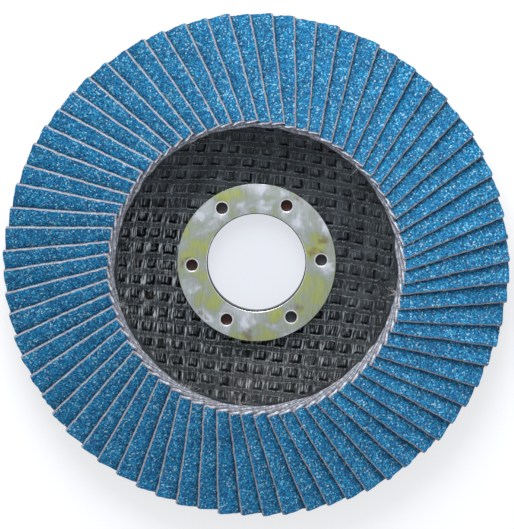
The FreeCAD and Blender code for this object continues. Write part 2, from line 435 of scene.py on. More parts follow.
def face_height(x, y):
    """Height of a flap's grain face at a place in its own plan."""
    return lower_edge_z + flap_stack - (x - flap_inner_x) * cone_fall + (lower_edge_y - y) * lean


def smooth_noise(rng, places, spacing, height):
    """Smooth random height at each place, with one free value for each spacing."""
    knots = int(np.ptp(places) / spacing) + 4
    values = rng.normal(0.0, height, knots)
    at = (places - places.min()) / spacing + 0.5
    low = at.astype(int)
    part = at - low
    ease = part * part * (3 - 2 * part)
    return values[low] * (1 - ease) + values[low + 1] * ease


print("lean across a flap", round(lean, 4))

# %% Points and faces of one flap
strip_step, strip_width, hidden_columns = 0.40 * MM, 6.8 * MM, 6
hidden_from, hidden_full = 2.6 * MM, 3.6 * MM
end_zone, edge_zone, corner_zone = 2.0 * MM, 1.2 * MM, 0.8 * MM
most_set_out, most_curl, corner_wear = 0.4 * MM, 0.22 * MM, 0.15 * MM
# Share and reach of the painted shade beside each raised edge.
painted_edge_shade_share, painted_edge_shade_reach = 0.72, 0.50 * MM
rows_along = int(flap_length / strip_step)
across = np.concatenate([
    np.arange(0, strip_width, strip_step),
    np.linspace(strip_width, flap_width, hidden_columns)])
layer_depth = np.array([0.0, 0.08, 0.21, 1.0]) * flap_thickness
grain_inset = np.array([0.18, 0.16, 0.03, 0.0]) * MM
inner_wear = np.array([0.50, 0.46, 0.05, 0.0]) * MM
# Painted light and shade of each layer's cut edge: dark for the layers above and below, palest at the tips,
# brightest at the inner end.
tip_light_and_shade = np.array([0.35, 0.45, 1.0, 0.35])
inner_tip_light_and_shade = np.array([0.0, 0.0, 1.8, 0.0])
layers = len(layer_depth)
columns = len(across)

ids = np.full((rows_along + 1, columns, layers), -1)
shell = np.ones(ids.shape, bool)
shell[1:-1, 1:-1, 1:-1] = False
ids[shell] = np.arange(shell.sum())


def patch(block):
    """Quads over a two-way block of point numbers."""
    corners = (block[:-1, :-1], block[1:, :-1], block[1:, 1:], block[:-1, 1:])
    return np.stack(corners, axis=-1).reshape(-1, 4)


def looped(block):
    """A block of point numbers that closes on itself both ways."""
    block = np.concatenate([block, block[:1]], axis=0)
    return np.concatenate([block, block[:, :1]], axis=1)


patches = [
    patch(ids[:, :, 0]), patch(ids[:, :, -1].T),
    patch(ids[:, 0, ::-1]), patch(ids[:, -1, :]),
    patch(ids[0, :, :]), patch(ids[-1, :, ::-1]),
]
flap_faces = np.concatenate(patches)
layer_of_point = np.broadcast_to(np.arange(layers), ids.shape)[shell]
tip_light_and_shade_grid = np.broadcast_to(tip_light_and_shade, ids.shape).copy()
tip_light_and_shade_grid[0] = inner_tip_light_and_shade
flap_kinds = (layer_of_point[flap_faces].max(axis=1) > 1).astype(int)


def flap_points(rng):
    """Points of one flap on the +X side, with its own cut, curl and wear."""
    s = np.linspace(flap_inner_x, flap_outer_x, rows_along + 1)
    x, t = np.meshgrid(s, across, indexing="ij")
    share = (x - flap_inner_x) / (flap_outer_x - flap_inner_x)
    near_edge = np.clip(1 - t / strip_width, 0, 1) ** 1.5
    at_edge = np.clip(1 - t / edge_zone, 0, 1)
    set_out = np.clip(rng.normal(0.0, 0.20, 2) * MM, -most_set_out, most_set_out)
    hidden = np.clip((t - hidden_from) / (hidden_full - hidden_from), 0, 1)
    wander = smooth_noise(rng, s, 5 * MM, 0.05 * MM) + smooth_noise(rng, s, 0.7 * MM, 0.04 * MM)
    edge_shift = (set_out[0] * (1 - share) + set_out[1] * share) * near_edge
    edge_shift += wander[:, None] * at_edge
    inner_cut = smooth_noise(rng, across, 1.3 * MM, 0.09 * MM) + rng.normal(0.0, 0.16) * MM
    outer_cut = smooth_noise(rng, across, 0.9 * MM, 0.05 * MM) + rng.normal(0.0, 0.11) * MM
    at_inner = np.clip(1 - (x - flap_inner_x) / end_zone, 0, 1)
    at_outer = np.clip(1 - (flap_outer_x - x) / end_zone, 0, 1)
    wear_and_painted_light = corner_wear * np.clip(1 - t / corner_zone, 0, 1) ** 2
    curl = rng.uniform(0.0, most_curl) * near_edge
    ripple = smooth_noise(rng, s, 7 * MM, 0.05 * MM)[:, None] * near_edge

    points = np.zeros(ids.shape + (3,))
    for layer in range(layers):
        inset = grain_inset[layer] * (1 + 0.3 * smooth_noise(rng, s, 1.0 * MM, 1.0))
        wear = inner_wear[layer] * (1 + 1.2 * hidden)
        wear = wear + 0.05 * MM * smooth_noise(rng, across, 0.7 * MM, 1.0)
        px = x + (inner_cut + wear) * at_inner + outer_cut * at_outer
        px = px - wear_and_painted_light * at_outer ** 3
        px[-1, :] -= 0.3 * grain_inset[layer]
        py = -edge_offset + t - edge_shift
        py[:, 0] += np.clip(inset, 0, 0.42 * MM)
        pz = face_height(px, py) + curl + ripple
        if layer == 0:
            pz = pz + rng.normal(0.0, 0.028 * MM, pz.shape)
        flat = np.stack([px, py, pz], axis=-1)
        points[:, :, layer] = flat - face_normal * layer_depth[layer]
    # Painted shade on the grain, strongest at the next flap's raised edge and fading away from it.
    to_cover = np.clip(x * sin(radians(pitch_angle)) - t, 0, 1)
    painted_edge_shade = painted_edge_shade_share * np.exp(-to_cover / painted_edge_shade_reach) * rng.uniform(0.75, 1.1)
    return points[shell], np.stack([x, t], axis=-1), painted_edge_shade


def turned(points, angle):
    """The same points, turned about the bore axis by an angle in degrees."""
    c, s = cos(radians(angle)), sin(radians(angle))
    spun = points.copy()
    spun[:, 0] = points[:, 0] * c - points[:, 1] * s
    spun[:, 1] = points[:, 0] * s + points[:, 1] * c
    return spun


print("one flap has", len(flap_faces), "faces in", layers, "layers")

# %% Lay the flaps, two to a piece as in the solids
flap_rng = np.random.default_rng(115)
flap_total, flap_edges = 0, []
for pair in range(flap_count // flaps_per_node):
    point_sets, face_sets, map_sets, painted_edge_shade_sets = [], [], [], []
    for member in range(flaps_per_node):
        points, plan, painted_edge_shade = flap_points(flap_rng)
        angle = flap_turn + pitch_angle * (pair * flaps_per_node + member)
        point_sets.append(turned(points, angle))
        face_sets.append(flap_faces + member * len(points))
        painted_edge_shade_sets.append(np.broadcast_to(painted_edge_shade[:, :, None], ids.shape)[shell])
        map_sets.append(np.broadcast_to(plan[:, :, None, :], ids.shape + (2,))[shell])
        flap_edges.append(turned(points[ids[:, 0, 2]], angle))
    name = "flap_pair_%02d" % (pair + 1)
    faces = np.concatenate(face_sets)
    piece = make_piece(
        name + "_cloth", np.concatenate(point_sets), faces, [grain_material, cloth_material],
        [name], np.tile(flap_kinds, flaps_per_node), 60.0)
    set_map(piece, "along_and_across", np.concatenate(map_sets), faces)
    set_numbers(piece, "painted_edge_shade", np.concatenate(painted_edge_shade_sets))
    set_numbers(piece, "tip_light_and_shade", np.tile(tip_light_and_shade_grid[shell], flaps_per_node))
    flap_total += len(faces)
print("flaps have", flap_total, "faces in all")

# %% [markdown]
# Loose fibres
#
# Cut cloth always sheds a few threads. They stand out along the pale edges, mostly at the
# inner ends, where no work has worn them away, and here and there they gather in a small
# tuft that hangs over the brow of the bowl. Each fibre is a thin bent tube with three
# sides, which is enough for something so fine. They are drawn about 0.1 mm thick, a little
# coarser than real ones, so that they show.

# %% One fibre
fibre_radius, fibre_taper = 0.05 * MM, 0.6
fibre_steps, fibre_sides = 4, 3
fibres_per_flap, fibres_per_tuft = 9, 16
tuft_angles = (45, 67, 73, 118, 196, 238, 241, 263, 305, 349)
tuft_r, tuft_z = flap_inner_x + 0.3 * MM, lower_edge_z + flap_stack
speck_size = 1.5 * MM
fibre_points, fibre_faces = [], []


def grow_fibre(start, heading, length, bend):
    """Keeps the points and faces of one bent fibre."""
    heading = heading / np.linalg.norm(heading)
    along = np.linspace(0, 1, fibre_steps + 1)[:, None]
    line = start + heading * length * along + bend * length * along ** 2
    side = np.cross(heading, [0.0, 0.0, 1.0])
    side /= np.linalg.norm(side) + 1e-9
    lift = np.cross(side, heading)
    thickness = fibre_radius * (1 - fibre_taper * along)
    turns = [2 * pi * turn / fibre_sides for turn in range(fibre_sides)]
    rings = [line + (side * cos(turn) + lift * sin(turn)) * thickness for turn in turns]
    first = sum(len(points) for points in fibre_points)
    for step in range(fibre_steps):
        for turn in range(fibre_sides):
            a = first + step * fibre_sides + turn
            b = first + step * fibre_sides + (turn + 1) % fibre_sides
            fibre_faces.append((a, b, b + fibre_sides, a + fibre_sides))
    fibre_points.append(np.stack(rings, axis=1).reshape(-1, 3))


def inwards(place):
    """Direction from a place to the middle of the hub."""
    return -place / np.linalg.norm(place[:2])


print("a fibre has", fibre_steps * fibre_sides, "faces")

# %% Fibres along the cut edges and in tufts
fibre_rng = np.random.default_rng(22)
for edge in flap_edges:
    for number in range(fibres_per_flap):
        at = edge[int(len(edge) * fibre_rng.beta(0.6, 1.6)) % len(edge)]
        sideways = np.cross(inwards(at), [0.0, 0.0, 1.0])
        heading = inwards(at) * fibre_rng.normal(0.2, 0.6) + sideways * fibre_rng.normal(0.0, 0.7)
        heading[2] = fibre_rng.normal(0.1, 0.25)
        bend = fibre_rng.normal(0.0, 0.35, 3)
        bend[2] = -0.2
        grow_fibre(at, heading, fibre_rng.uniform(0.4, 1.2) * MM, bend)
for angle in tuft_angles:
    for number in range(fibres_per_tuft):
        spread = fibre_rng.normal(0, 0.7)
        at = turned(np.array([[tuft_r, 0.0, tuft_z]]), angle + spread)[0]
        at[2] += fibre_rng.uniform(-0.5, 0.9) * MM
        heading = inwards(at) * fibre_rng.uniform(0.2, 1.0) + fibre_rng.normal(0.0, 0.5, 3)
        length = fibre_rng.uniform(0.8, 2.1) * MM
        grow_fibre(at, heading, length, fibre_rng.normal(0, 0.4, 3))

fibre_material, tree = start_material("loose_cotton_fibre")
place = add(tree, "TexCoord").outputs["Object"]
speck = add(tree, "TexNoise", {"Vector": place, "Scale": 1 / speck_size})
fibre_colour = set_stops(add(tree, "ValToRGB", {"Fac": speck}), (0.35, "#b9a8a4"), (0.6, "#e9e4e6"))
finish_material(tree, Base_Color=fibre_colour, Roughness=0.85, Sheen_Weight=0.2)
make_piece("loose_fibres", np.concatenate(fibre_points), np.array(fibre_faces),
           [fibre_material], sharp=180.0)
print("fibres", len(fibre_points))

# %% [markdown]
# The backing plate
#
# The plate is glass cloth soaked in black resin and pressed in a hot mould. The cloth is
# coarse and open, so its rovings stand as a grid about 4 mm apart with a square window in
# each mesh. A pad of threads bulges in each window, with a deep groove on its right and
# lower sides, and frayed threads run in waves beside the level rovings. A bump map can't
# give shapes this deep, so the plate is turned on a lathe as a dense mesh, and the weave
# is pressed into it as real relief.

# %% Profile of the plate, from the bore over the rim and back
weave_pitch_across, weave_pitch_up = 3.90 * MM, 3.65 * MM
weave_window, weave_depth = 2.20 * MM, 0.35 * MM
weave_turn = radians(-6.4)
weave_shift_across, weave_shift_up = 3.42 * MM, 0.68 * MM
weave_start, weave_row = 17.6 * MM, 0.18 * MM
hub_row, back_row = 0.42 * MM, 0.60 * MM
wall_thickness = 2.2 * MM
foot_round, brow_round, back_foot_round, back_brow_round = 6.0 * MM, 2.0 * MM, 3.0 * MM, 4.2 * MM
rim_edge, rim_round = 0.35 * MM, 0.10 * MM
countersink_radius, countersink_z = 13.3 * MM, 1.35 * MM
plate_bore_radius = bore_radius + sheet + 0.03 * MM
bowl_slope = (brow_z - hub_thickness) / (brow_radius - foot_radius)
wall_stack = wall_thickness * sqrt(1 + bowl_slope ** 2)
flange_stack = flange_thickness * sqrt(1 + cone_fall ** 2)


def eased(r, corner, before, after, round_radius):
    """Height of two straight slopes that meet at a corner, with a round between them."""
    half = round_radius * abs(atan(after) - atan(before)) / 2
    r0, z0 = corner
    part = np.clip((r - (r0 - half)) / (2 * half), 0, 1)
    slope_run = before * np.minimum(r - (r0 - half), 0) + after * np.maximum(r - (r0 + half), 0)
    middle = before * part + (after - before) * part ** 2 / 2
    return z0 - before * half + slope_run + middle * 2 * half


def plate_front(r):
    lower = eased(r, (foot_radius, hub_thickness), 0.0, bowl_slope, foot_round)
    upper = eased(r, (brow_radius, brow_z), bowl_slope, -cone_fall, brow_round)
    return np.where(r < (foot_radius + brow_radius) / 2, lower, upper)


def plate_back(r):
    wall_z = hub_thickness - wall_stack
    foot_r = foot_radius - wall_z / bowl_slope
    flange_z = brow_z - flange_stack + cone_fall * brow_radius
    brow_r = (flange_z - wall_z + bowl_slope * foot_radius) / (bowl_slope + cone_fall)
    brow_back_z = wall_z + bowl_slope * (brow_r - foot_radius)
    lower = eased(r, (foot_r, 0.0), 0.0, bowl_slope, back_foot_round)
    upper = eased(r, (brow_r, brow_back_z), bowl_slope, -cone_fall, back_brow_round)
    return np.where(r < (foot_r + brow_r) / 2, lower, upper)


edge_r = plate_radius - rim_edge
front_r = np.concatenate([
    np.arange(plate_bore_radius, weave_start, hub_row),
    np.arange(weave_start, brow_radius + 1.2 * MM, weave_row),
    np.linspace(brow_radius + 1.5 * MM, edge_r, 12)])
back_r = np.concatenate([
    np.linspace(edge_r, brow_radius, 16, endpoint=False),
    np.arange(brow_radius, countersink_radius + 0.1 * MM, -back_row),
    [countersink_radius, plate_bore_radius]])
rim_top, rim_low = plate_front(np.array([edge_r]))[0], plate_back(np.array([edge_r]))[0]
rim_r = np.array([plate_radius - rim_round, plate_radius, plate_radius, plate_radius - rim_round])
rim_z = np.array([rim_top - 0.08 * MM, rim_top - 0.35 * MM, rim_low + 0.30 * MM, rim_low + 0.06 * MM])
back_z = plate_back(back_r)
back_z[-1] = countersink_z
profile_r = np.concatenate([front_r, rim_r, back_r])
profile_z = np.concatenate([plate_front(front_r), rim_z, back_z])
profile_side = np.concatenate([np.ones(len(front_r)), np.zeros(4), -np.ones(len(back_r) - 1), [0.0]])
print("profile points", len(profile_r))

# %% Height of the weave
cells = 64
window_wall = 0.13 * MM
fray_offset, fray_width, fray_height = 0.16 * MM, 0.11 * MM, 0.07 * MM
cut_offset, cut_width, cut_depth = 0.24 * MM, 0.10 * MM, 0.10 * MM
rib_pitch, rib_height = 0.80 * MM, 0.035 * MM
weave_rng = np.random.default_rng(8)
cell_jitter = weave_rng.normal(0.0, 1.0, (cells, cells, 6))
thread_phases = weave_rng.uniform(0, 2 * pi, (4, 3))


def smooth_step(value, low, high):
    part = np.clip((value - low) / (high - low), 0, 1)
    return part * part * (3 - 2 * part)


def along_cloth(r):
    """Distance from the axis measured along the cloth, which follows the bowl."""
    return np.minimum(r, foot_radius) + np.maximum(r - foot_radius, 0) * sqrt(1 + bowl_slope ** 2)


def waves(along, phases, spacing):
    """Slow wandering of a thread along its own length, about one unit high."""
    return sum(np.sin(2 * pi * along / (spacing * part) + phase)
               for part, phase in zip((1.0, 0.62, 0.37), phases)) / 2


def weave_relief(u, v):
    """Height of the woven face, its grooves, its loose threads and its upright streaks."""
    iu = np.floor((u - weave_shift_across) / weave_pitch_across + 0.5).astype(int)
    iv = np.floor((v - weave_shift_up) / weave_pitch_up + 0.5).astype(int)
    jitter = cell_jitter[(iu + cells // 2) % cells, (iv + cells // 2) % cells]
    du = u - weave_shift_across - iu * weave_pitch_across + jitter[..., 0] * 0.09 * MM
    dv = v - weave_shift_up - iv * weave_pitch_up + jitter[..., 1] * 0.09 * MM
    du = du + 0.10 * MM * waves(v, thread_phases[0], 2.1 * MM)
    dv = dv + 0.08 * MM * waves(u, thread_phases[1], 2.6 * MM)
    half_u = weave_window / 2 * (1 + 0.07 * jitter[..., 2])
    half_v = weave_window / 2 * (1 + 0.07 * jitter[..., 3])
    in_u = smooth_step(half_u - abs(du), -window_wall, window_wall)
    in_v = smooth_step(half_v - abs(dv), -window_wall, window_wall)
    inside, level_roving, upright_roving = in_u * in_v, 1 - in_v, (1 - in_u) * in_v

    deep_right = np.clip(0.80 + 0.30 * jitter[..., 4], 0.2, 1.1)
    deep_below = np.clip(0.85 + 0.30 * jitter[..., 5], 0.2, 1.1)
    right, below = smooth_step(du / half_u, 0.35, 0.85), smooth_step(-dv / half_v, 0.30, 0.80)
    left, above = smooth_step(-du / half_u, 0.65, 1.0), smooth_step(dv / half_v, 0.70, 1.0)
    groove = np.maximum(right * deep_right, below * deep_below)
    groove = np.maximum(groove, 0.35 * np.maximum(left, above))

    beside = abs(dv) - half_v - fray_offset + 0.07 * MM * waves(u, thread_phases[2], 1.3 * MM)
    loose = np.exp(-(beside / fray_width) ** 2) * level_roving
    cut = np.exp(-((beside - cut_offset) / cut_width) ** 2) * level_roving
    ribs = np.sin(2 * pi * du / rib_pitch + 0.8 * waves(v, thread_phases[3], 2.9 * MM))
    height = fray_height * loose - cut_depth * cut - weave_depth * inside * (0.28 + 0.80 * groove)
    height = height + rib_height * ribs * (upright_roving + inside)

    # Painted light and shade over the lower left of the bowl, most of all towards the left: it darkens the
    # windows as painted shade and brightens the streaks as a painted highlight.
    wear_and_painted_light = smooth_step(-v - 0.45 * u, -9 * MM, 9 * MM)
    wear_and_painted_light = wear_and_painted_light * (1 - 0.55 * smooth_step(-v, 13 * MM, 25 * MM))
    wear_and_painted_light = wear_and_painted_light * (1 + 0.60 * smooth_step(-u, 8 * MM, 20 * MM))
    # Painted shade: the windows' grooves and the cuts beside the loose threads get this number, which the
    # shader turns near black.
    shade = inside * (groove * 1.1 + 0.35 * wear_and_painted_light) + (0.5 + 0.2 * wear_and_painted_light) * cut
    streaky = (0.28 + 0.72 * wear_and_painted_light) * np.clip(upright_roving + (1 - groove) * inside, 0, 1)
    streaky = streaky + 0.25 * wear_and_painted_light * level_roving
    return height, np.clip(shade, 0, 1), loose, streaky


print("a window is", round(weave_window / MM, 2), "mm wide")

# %% Press the weave into the plate
plate_columns = 600
bumps, bump_height = 14, 0.012 * MM
shown_from, shown_to = ring_radius - 0.6 * MM, brow_radius + 0.6 * MM
back_share, back_from, back_to = 0.35, 15 * MM, 49.5 * MM
hole_rust = (0.30, 1.0, 0.45, 0.90, 1.0, 0.15)
pit_depth, pit_edge = 0.7 * MM, 0.3 * MM

angles = np.linspace(0, 2 * pi, plate_columns, endpoint=False)
grid_r, grid_a = np.meshgrid(profile_r, angles, indexing="ij")
grid_z = np.broadcast_to(profile_z[:, None], grid_r.shape).copy()
side = profile_side[:, None]
u = along_cloth(grid_r) * np.cos(grid_a - weave_turn)
v = along_cloth(grid_r) * np.sin(grid_a - weave_turn)
relief, window_shade, loose, streaky = weave_relief(u, v)
relief = relief + bump_height * sum(
    weave_rng.normal(0, 1) * np.sin(u / MM * a + v / MM * b + c)
    for a, b, c in weave_rng.uniform(-2.6, 2.6, (bumps, 3)))
shown = smooth_step(grid_r, shown_from, shown_from + 0.8 * MM)
shown = shown * smooth_step(-grid_r, -shown_to, -shown_to + 1.5 * MM)
on_back = smooth_step(grid_r, back_from, back_from + 3 * MM)
on_back = on_back * smooth_step(-grid_r, -back_to, -back_to + 1.5 * MM)
back_relief = np.maximum(-back_share * relief * on_back, 0)
grid_z += np.where(side > 0, relief * shown, np.where(side < 0, back_relief, 0))

hole_angles = radians(pierced_turn) + 2 * pi * np.arange(pierced_count) / pierced_count
hole_x, hole_y = pierced_circle_radius * np.cos(hole_angles), pierced_circle_radius * np.sin(hole_angles)
grid_x, grid_y = grid_r * np.cos(grid_a), grid_r * np.sin(grid_a)
to_holes = np.hypot(grid_x[..., None] - hole_x, grid_y[..., None] - hole_y)
rust = np.array(hole_rust)[to_holes.argmin(axis=-1)]
to_hole = to_holes.min(axis=-1)
pit = smooth_step(-to_hole, -pierced_radius - pit_edge, -pierced_radius + pit_edge) * (side > 0)
grid_z -= pit_depth * pit

plate_points = np.stack([grid_x, grid_y, grid_z], axis=-1).reshape(-1, 3)
rows = len(profile_r)
numbers = np.arange(rows * plate_columns).reshape(rows, plate_columns)
plate_faces = patch(looped(numbers))
print("plate faces", len(plate_faces))

# %% [markdown]
# Black resin over glass rovings
#
# Phenolic resin with carbon black is nearly black, with a satin skin that shines on the
# tops of the rovings. The glass threads under it are about 0.3 mm apart and draw grey
# streaks along the upright rovings and the pads. A map that follows the cloth keeps the
# streaks in line with the weave. The relief also leaves numbers on the points: where a
# groove is, which gets painted shade in near black, where loose threads lie, which the
# resin left pale, where the threads run upright, whose streaks get a painted highlight on
# the lower left of the bowl, where the level rovings are made darker towards the bottom,
# and where rust stains the bottom of a pierced hole.

# %% Material: black resin over glass cloth
thread_width, thread_relief = 0.34 * MM, 0.16 * MM
tone_size, speckle_size, brown_size = 5 * MM, 0.5 * MM, 3.1 * MM

plate_material, tree = start_material("black_phenolic_resin_on_glass_cloth")
cloth_map = add(tree, "UVMap", uv_map="cloth")
window_shade_node = add(tree, "Attribute", attribute_name="window_shade", attribute_type="GEOMETRY")
stain = add(tree, "Attribute", attribute_name="stain", attribute_type="GEOMETRY")
place = add(tree, "TexCoord").outputs["Object"]
stretch = add(tree, "Mapping", {"Vector": cloth_map,
                                "Scale": (1 / thread_width, 1 / (8 * thread_width), 1.0)})
streaks = add(tree, "TexNoise", {"Vector": stretch, "Scale": 1.0, "Detail": 1.5,
                                 "Roughness": 0.5})
patches_noise = add(tree, "TexNoise", {"Vector": place, "Scale": 1 / tone_size,
                                       "Detail": 3.0})
speckle = add(tree, "TexNoise", {"Vector": place, "Scale": 1 / speckle_size, "Detail": 3.0})
fray_share = add(tree, "Attribute", attribute_name="loose", attribute_type="GEOMETRY")
upright = add(tree, "Attribute", attribute_name="upright", attribute_type="GEOMETRY")
smooth_resin = set_stops(add(tree, "ValToRGB", {"Fac": patches_noise}),
                         (0.35, "#2a2f32"), (0.50, "#394044"), (0.65, "#4a5256"))
open_weave = add(tree, "MapRange", {"Value": upright.outputs["Fac"], "From Min": 0.9, "From Max": 1.6,
                                    "To Min": 0.0, "To Max": 0.09})
paler = add(tree, "Math", {0: streaks, 1: open_weave}, operation="ADD")
resin = set_stops(add(tree, "ValToRGB", {"Fac": paler}),
                  (0.39, "#0a0c0d"), (0.49, "#23282b"), (0.56, "#4e555a"), (0.66, "#a3a9ae"))
# The level rovings are mixed towards a darker grey towards the bottom of the bowl.
bottom_darkening = add(tree, "Attribute", attribute_name="darker_towards_bottom", attribute_type="GEOMETRY")
level_resin = add(tree, "MixRGB", {"Fac": bottom_darkening.outputs["Fac"], "Color1": smooth_resin,
                                   "Color2": colour("#14181a")})
streaked = add(tree, "MixRGB", {"Fac": upright.outputs["Fac"], "Color1": level_resin,
                                "Color2": resin})
# Painted shade: grooves and cuts are mixed towards near black.
shaded_windows = add(tree, "MixRGB", {"Fac": window_shade_node.outputs["Fac"], "Color1": streaked,
                              "Color2": colour("#020303")})
frayed = add(tree, "MapRange", {"Value": speckle, "From Min": 0.42, "From Max": 0.62,
                                "To Min": 0.0, "To Max": 0.85})
frayed = add(tree, "Math", {0: frayed, 1: fray_share.outputs["Fac"]}, operation="MULTIPLY")
threaded = add(tree, "MixRGB", {"Fac": frayed, "Color1": shaded_windows,
                                "Color2": colour("#9ba0a3")})
brown = add(tree, "TexNoise", {"Vector": place, "Scale": 1 / brown_size, "Detail": 4.0,
                               "Roughness": 0.7})
dusty = add(tree, "MapRange", {"Value": brown, "From Min": 0.56, "From Max": 0.72,
                               "To Min": 0.0, "To Max": 0.55})
plate_colour = add(tree, "MixRGB", {"Fac": dusty, "Color1": threaded,
                                    "Color2": colour("#3a302e")})
rusty = add(tree, "MixRGB", {"Fac": stain.outputs["Fac"], "Color1": plate_colour,
                             "Color2": colour("#43251b")})
gloss = add(tree, "MapRange", {"Value": patches_noise, "From Min": 0.3, "From Max": 0.7,
                               "To Min": 0.34, "To Max": 0.50})
thread_shine = add(tree, "MapRange", {"Value": streaks, "From Min": 0.50, "From Max": 0.62,
                                      "To Min": 0.0, "To Max": 0.8})
thread_shine = add(tree, "Math", {0: thread_shine, 1: upright.outputs["Fac"]},
                   operation="MULTIPLY")
dull = add(tree, "MapRange", {"Value": window_shade_node.outputs["Fac"], "To Min": 0.20, "To Max": 0.03})
shine = add(tree, "Math", {0: thread_shine, 1: dull}, operation="ADD")
grain_low = add(tree, "Math", {0: speckle, 1: 0.4}, operation="MULTIPLY")
thread_height = add(tree, "Math", {0: streaks, 1: upright.outputs["Fac"]}, operation="MULTIPLY")
heights = add(tree, "Math", {0: thread_height, 1: grain_low}, operation="ADD")
bump = add(tree, "Bump", {"Height": heights, "Strength": 0.7, "Distance": thread_relief})
finish_material(tree, Base_Color=rusty, Roughness=gloss,
                Normal=bump, Specular_IOR_Level=shine)

plate = make_piece("backing_plate_pressed", plate_points, plate_faces, [plate_material],
                   ["backing_plate"], sharp=80.0)
set_map(plate, "cloth", np.stack([u, v], axis=-1).reshape(-1, 2), plate_faces)
front = shown * (side > 0)
# Level rovings made darker towards the bottom of the bowl.
darker_towards_bottom = 0.70 * smooth_step(-v - 0.8 * abs(u), -8 * MM, 12 * MM)
for name, values in (("window_shade", window_shade), ("loose", loose), ("upright", streaky), ("darker_towards_bottom", darker_towards_bottom)):
    set_numbers(plate, name, values * front)
set_numbers(plate, "stain", pit * rust)
print(plate.name, len(plate.data.vertices), "points")

# %% [markdown]
# The arbor ring
#
# The ring is pressed from sheet steel: its flange lies on the hub, and its collar lines
# the bore and is turned out at the back. It is turned here from its own outline, with a
# true round where the flange turns into the bore, and the six pierced holes are cut with
# a Boolean. Each hole's cutter opens a little at the top, because the punch draws the
# sheet down into it, and that leaves the bright lip round each hole.

# %% Turn the ring and pierce its holes
ring_columns, punch_columns = 256, 48


def arc(centre, radius, start, finish, steps):
    """Points on an arc in the (r, z) plane, with its angles in degrees."""
    turns = np.radians(np.linspace(start, finish, steps + 1))
    return [(centre[0] + radius * cos(a), centre[1] + radius * sin(a)) for a in turns]


def lathe(outline, columns, centre=(0.0, 0.0)):
    """Points and faces of a closed outline, turned about an upright axis."""
    r, z = np.array(outline).T
    rows = len(r)
    angle = np.linspace(0, 2 * pi, columns, endpoint=False)
    points = np.stack([
        centre[0] + r[:, None] * np.cos(angle), centre[1] + r[:, None] * np.sin(angle),
        np.broadcast_to(z[:, None], (rows, columns))], axis=-1).reshape(-1, 3)
    return points, patch(looped(np.arange(rows * columns).reshape(rows, columns)))


entry, bevel = 0.35 * MM, 0.06 * MM
flare_start, flare_length = 1.0 * MM, 0.9 * MM
flare_reach, sheet_step = flare_length / sqrt(2), sheet / sqrt(2)
flare_outer_z = flare_start + sheet * tan(pi / 8)
flare_tip = (bore_radius + flare_reach, flare_start - flare_reach)
ring_outline = arc((bore_radius + entry, ring_front_z - entry), entry, 180, 90, 10)
ring_outline += arc((ring_radius - bevel, ring_front_z - bevel), bevel, 90, 0, 4)
ring_outline += [
    (ring_radius, hub_thickness), (bore_radius + sheet, hub_thickness),
    (bore_radius + sheet, flare_outer_z), (flare_tip[0] + sheet_step, flare_tip[1] + sheet_step),
    flare_tip, (bore_radius, flare_start)]
points, faces = lathe(ring_outline[::-1], ring_columns)

zinc_material, lip_material, mouth_material = (start_material(name)[0] for name in (
    "zinc_plated_steel_yellow_passivated", "burnished_steel_and_painted_highlight",
    "steel_with_painted_shade_in_the_mouth"))
ring = make_piece("arbor_ring_pressed", points, faces, [zinc_material],
                  ["arbor_ring"], sharp=30.0)

lip, lip_fall = 0.28 * MM, 0.07 * MM
# Where the painted shade in the mouth starts, and how far up the painted highlight on the lower side of its
# round reaches.
dark_from, painted_highlight_below = 0.045 * MM, 6 * MM
for number in range(pierced_count):
    centre = (hole_x[number], hole_y[number])
    cutter_outline = [
        (pierced_radius + lip, ring_front_z + lip), (pierced_radius + lip, ring_front_z),
        (pierced_radius + 0.6 * lip, ring_front_z - 0.3 * lip_fall),
        (pierced_radius, ring_front_z - lip_fall), (pierced_radius, hub_thickness - 1 * MM),
        (0.01 * MM, hub_thickness - 1 * MM), (0.01 * MM, ring_front_z + lip)]
    points, faces = lathe(cutter_outline, punch_columns, centre)
    punch = meshed("punch", points, faces)
    cut = ring.modifiers.new("pierce", "BOOLEAN")
    cut.operation, cut.object, cut.solver = "DIFFERENCE", punch, "EXACT"
    bpy.context.view_layer.update()
    shape = bpy.data.meshes.new_from_object(ring.evaluated_get(bpy.context.evaluated_depsgraph_get()))
    ring.modifiers.clear()
    ring.data = shape
    bpy.data.objects.remove(punch)
ring.data.shade_smooth()
ring.data.set_sharp_from_angle(angle=radians(30))
ring.data.materials.append(lip_material)
ring.data.materials.append(mouth_material)
for polygon in ring.data.polygons:
    x, y, z = polygon.center
    from_hole = min(hypot(x - hx, y - hy) for hx, hy in zip(hole_x, hole_y))
    on_round = hypot(x, y) < bore_radius + entry
    # Painted shade: the lower part of the mouth's round gets the dark steel.
    at_mouth = on_round and z < ring_front_z - dark_from
    at_lip = from_hole < pierced_radius + lip and ring_front_z - lip_fall < z < ring_front_z - 0.001 * MM
    # Painted highlight: the round of the mouth gets the bright steel on its lower side.
    painted_mouth_highlight = on_round and y < painted_highlight_below
    polygon.material_index = 2 if at_mouth else 1 if at_lip or painted_mouth_highlight else 0
print(ring.name, len(ring.data.polygons), "faces after piercing")

# %% [markdown]
# Zinc plate with a yellow passivated film
#
# The steel is plated with zinc and dipped in chromate, which leaves a film of uneven
# thickness: grey and white where it is thin, yellow green where it is thick, and small
# brown stains by the holes. It was brushed before plating, and the fine lines blur its
# reflections. A metal takes its look from its base colour and its roughness, so the film
# is blotches in the colour, and the brushing is long thin noise in the bump. Noise makes
# most of the film. Three short lists place its large patches, each as x, y and size in
# millimetres, and a second noise bends their outlines.

